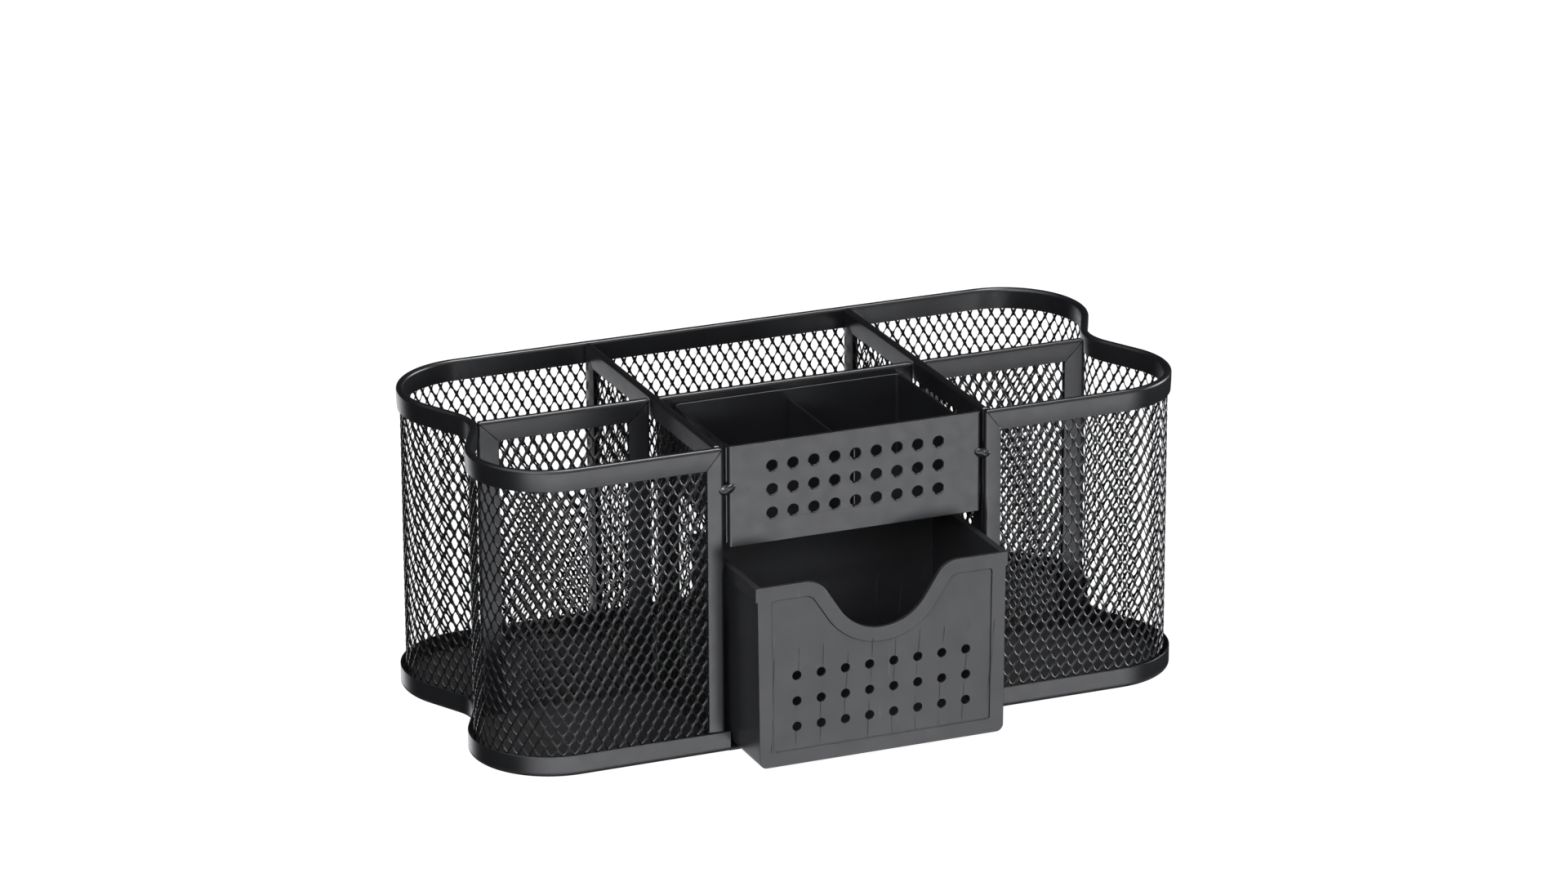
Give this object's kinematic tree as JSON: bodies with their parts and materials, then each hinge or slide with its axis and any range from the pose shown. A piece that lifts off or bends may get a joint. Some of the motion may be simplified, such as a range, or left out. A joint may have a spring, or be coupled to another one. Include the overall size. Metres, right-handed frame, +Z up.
{
  "type": "desk organizer",
  "caption": "Mesh desk organizer with lobed, parted cups at both ends and, between them, a punched tray over a sliding drawer and an open space for notes.",
  "frame": {"origin": "centre of the footprint, on the surface the organizer stands on", "axes": "+X to the right along its length, +Y to the back, +Z up; the drawer opens towards -Y"},
  "size_m": [0.237, 0.1363, 0.1],
  "materials": {
    "coated_mesh": "satin black powder coat",
    "coated_sheet": "satin black powder coat",
    "drawer_plastic": "fine matte texture"
  },
  "bodies": {
    "frame": {"base_pan": "coated_sheet", "left_cross_inner_stile": "coated_sheet", "left_cross_mesh": "coated_mesh", "left_cross_outer_stile": "coated_sheet", "left_cross_rail": "coated_sheet", "left_divider_front_stile": "coated_sheet", "left_divider_mesh": "coated_mesh", "left_divider_rail": "coated_sheet", "left_divider_rear_stile": "coated_sheet", "left_front_post": "coated_sheet", "middle_cross_left_stile": "coated_sheet", "middle_cross_mesh": "coated_mesh", "middle_cross_rail": "coated_sheet", "middle_cross_right_stile": "coated_sheet", "right_cross_inner_stile": "coated_sheet", "right_cross_mesh": "coated_mesh", "right_cross_outer_stile": "coated_sheet", "right_cross_rail": "coated_sheet", "right_divider_front_stile": "coated_sheet", "right_divider_mesh": "coated_mesh", "right_divider_rail": "coated_sheet", "right_divider_rear_stile": "coated_sheet", "right_front_post": "coated_sheet", "rim_band": "coated_sheet", "tack_welds": "coated_sheet", "tray_bin": "coated_sheet", "tray_divider": "coated_sheet", "tray_front": "coated_sheet", "wall_mesh": "coated_mesh"},
    "drawer": {"drawer": "drawer_plastic"}
  },
  "joints": [
    {"name": "drawer_slide", "type": "slide", "parent": "frame", "child": "drawer", "axis": [0, -1, 0], "range_m": [-0.021, 0.024]}
  ]
}
